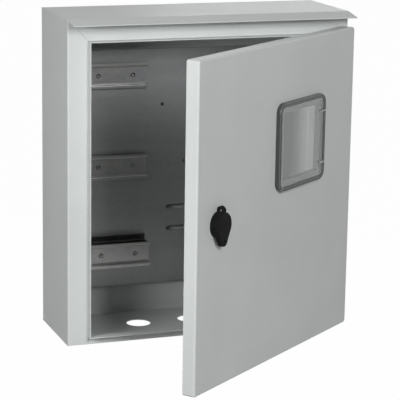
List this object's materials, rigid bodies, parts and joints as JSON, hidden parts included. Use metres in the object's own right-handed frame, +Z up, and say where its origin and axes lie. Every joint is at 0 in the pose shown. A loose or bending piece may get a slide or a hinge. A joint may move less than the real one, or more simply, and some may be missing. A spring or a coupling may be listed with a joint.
{
  "type": "electrical enclosure",
  "caption": "Wall-hung steel electrical enclosure with rain eave, hinged door with window and covered cam lock, mounting plate with short rails, and cable holes in the floor.",
  "frame": {"origin": "middle of the four wall holes, on the rear face", "axes": "+X to the right seen from the front, +Y into the wall, +Z up; the door faces -Y"},
  "size_m": [0.4034, 0.39, 0.444],
  "materials": {
    "painted_shell": "light grey powder coat, fine texture",
    "painted_door": "light grey powder coat, fine texture",
    "galvanised": "galvanised sheet, faint spangle",
    "zinc_hardware": "zinc-plated steel",
    "foam_seal": "closed-cell foam, matt",
    "bezel_rubber": "dark grey moulded rubber",
    "clear_pane": "clear polycarbonate",
    "black_plastic": "black moulded plastic, satin",
    "lock_metal": "nickel-plated zinc"
  },
  "bodies": {
    "cabinet": {"side_back_shell": "painted_shell", "roof_sheet": "painted_shell", "front_header": "painted_shell", "front_sill": "painted_shell", "floor_sheet": "painted_shell", "mounting_plate": "galvanised", "plate_studs": "zinc_hardware", "plate_rear_nuts": "zinc_hardware", "plate_washers": "zinc_hardware", "plate_front_nuts": "zinc_hardware", "top_din_rail": "galvanised", "middle_din_rail": "galvanised", "bottom_din_rail": "galvanised", "rail_riser": "galvanised", "rail_rivets": "zinc_hardware", "body_earth_stud": "zinc_hardware", "body_earth_nut": "zinc_hardware", "lower_hinge_base": "painted_shell", "lower_hinge_pin": "zinc_hardware", "upper_hinge_base": "painted_shell", "upper_hinge_pin": "zinc_hardware"},
    "door": {"door_panel": "painted_door", "door_gasket": "foam_seal", "window_bezel": "bezel_rubber", "window_pane": "clear_pane", "pane_clips": "zinc_hardware", "lock_housing": "black_plastic", "lock_nut": "zinc_hardware", "lock_cover_pin": "black_plastic", "door_earth_stud": "zinc_hardware", "door_earth_nut": "zinc_hardware", "lower_hinge_arm": "painted_door", "upper_hinge_arm": "painted_door"},
    "lock_core": {"lock_plug": "lock_metal", "lock_cam": "zinc_hardware", "cam_screw": "zinc_hardware"},
    "dust_cover": {"lock_cover": "black_plastic"}
  },
  "joints": [
    {"name": "door_hinge", "type": "hinge", "parent": "cabinet", "child": "door", "pos_m": [0.1945, -0.141, 0], "axis": [0, 0, 1], "range_deg": [-38, 82]},
    {"name": "lock_turn", "type": "hinge", "parent": "door", "child": "lock_core", "pos_m": [-0.08776, -0.34579, -0.0063], "axis": [-0.6157, 0.788, 0], "range_deg": [0, 90]},
    {"name": "cover_swing", "type": "hinge", "parent": "door", "child": "dust_cover", "pos_m": [-0.07095, -0.3673, 0.0161], "axis": [-0.788, -0.6157, 0], "range_deg": [0, 110]}
  ]
}
